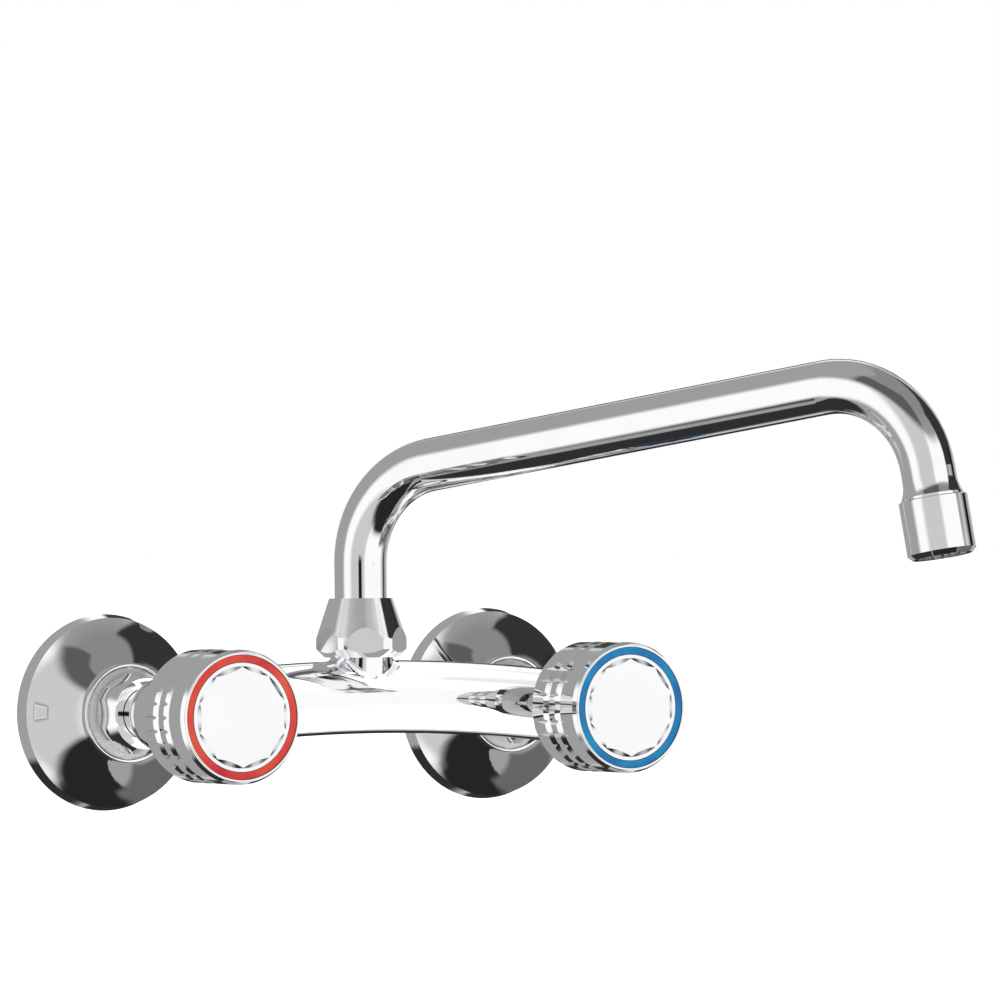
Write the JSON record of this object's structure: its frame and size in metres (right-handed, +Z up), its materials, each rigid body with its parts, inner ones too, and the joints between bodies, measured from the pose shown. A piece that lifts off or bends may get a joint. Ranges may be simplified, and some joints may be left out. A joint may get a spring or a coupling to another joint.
{
  "type": "wall-mounted sink faucet",
  "caption": "Wall-mounted sink mixer tap: arched cross tube on wall unions, round fluted knobs with red and blue rings, and a long swivel tube spout with an aerator.",
  "frame": {"origin": "on the wall plane, midway between the two inlets, at the height of the inlet axes", "axes": "+Y into the wall along the inlets, +X to the right (cold side) seen from the room, +Z up"},
  "size_m": [0.2247, 0.269, 0.149],
  "materials": {
    "polished_chrome": "mirror polished chrome plate",
    "bare_brass": "turned brass",
    "spring_steel": "stainless, fine turned",
    "black_rubber": "matte",
    "grey_fibre": "pressed fibre, matte",
    "white_plastic": "moulded acetal, satin",
    "red_index": "gloss",
    "blue_index": "gloss"
  },
  "bodies": {
    "faucet_body": {"body": "polished_chrome", "cold_bonnet": "polished_chrome", "cold_bonnet_seal": "grey_fibre", "cold_escutcheon": "polished_chrome", "cold_escutcheon_grommet": "white_plastic", "cold_inlet_washer": "grey_fibre", "cold_union_nut": "polished_chrome", "cold_wall_union": "bare_brass", "hot_bonnet": "polished_chrome", "hot_bonnet_seal": "grey_fibre", "hot_escutcheon": "polished_chrome", "hot_escutcheon_grommet": "white_plastic", "hot_inlet_washer": "grey_fibre", "hot_union_nut": "polished_chrome", "hot_wall_union": "bare_brass", "spout_nut": "polished_chrome"},
    "spout": {"spout_spigot": "bare_brass", "spout_o_rings": "black_rubber", "spout_retaining_ring": "white_plastic", "spout_tube": "polished_chrome", "outlet_nipple": "polished_chrome", "aerator_housing": "polished_chrome", "aerator_seal": "black_rubber", "aerator_insert": "white_plastic", "aerator_screen": "spring_steel"},
    "hot_handle": {"hot_knob": "polished_chrome", "hot_knob_insert": "white_plastic", "hot_index_ring": "red_index", "hot_knob_cap": "polished_chrome", "hot_knob_screw": "spring_steel", "hot_spindle": "bare_brass", "hot_spindle_o_rings": "black_rubber", "hot_spindle_circlip": "spring_steel"},
    "cold_handle": {"cold_knob": "polished_chrome", "cold_knob_insert": "white_plastic", "cold_index_ring": "blue_index", "cold_knob_cap": "polished_chrome", "cold_knob_screw": "spring_steel", "cold_spindle": "bare_brass", "cold_spindle_o_rings": "black_rubber", "cold_spindle_circlip": "spring_steel"},
    "hot_valve_piston": {"hot_piston": "bare_brass", "hot_seat_washer": "black_rubber", "hot_washer_screw": "bare_brass"},
    "cold_valve_piston": {"cold_piston": "bare_brass", "cold_seat_washer": "black_rubber", "cold_washer_screw": "bare_brass"}
  },
  "joints": [
    {"name": "spout_swivel", "type": "hinge", "parent": "faucet_body", "child": "spout", "pos_m": [0, -0.0455, 0.0266], "axis": [0, 0, 1], "range_deg": [-118, 62]},
    {"name": "hot_knob_turn", "type": "hinge", "parent": "faucet_body", "child": "hot_handle", "pos_m": [-0.075, -0.0845, 0], "axis": [0, -1, 0], "range_deg": [0, 900]},
    {"name": "hot_piston_lift", "type": "slide", "parent": "faucet_body", "child": "hot_valve_piston", "axis": [0, -1, 0], "range_m": [0, 0.005]},
    {"name": "cold_knob_turn", "type": "hinge", "parent": "faucet_body", "child": "cold_handle", "pos_m": [0.075, -0.0845, 0], "axis": [0, -1, 0], "range_deg": [0, 900]},
    {"name": "cold_piston_lift", "type": "slide", "parent": "faucet_body", "child": "cold_valve_piston", "axis": [0, -1, 0], "range_m": [0, 0.005]}
  ],
  "couplings": [
    {"joint": "hot_piston_lift", "follows": "hot_knob_turn", "m_per_rad": 0.00031831},
    {"joint": "cold_piston_lift", "follows": "cold_knob_turn", "m_per_rad": 0.00031831}
  ]
}
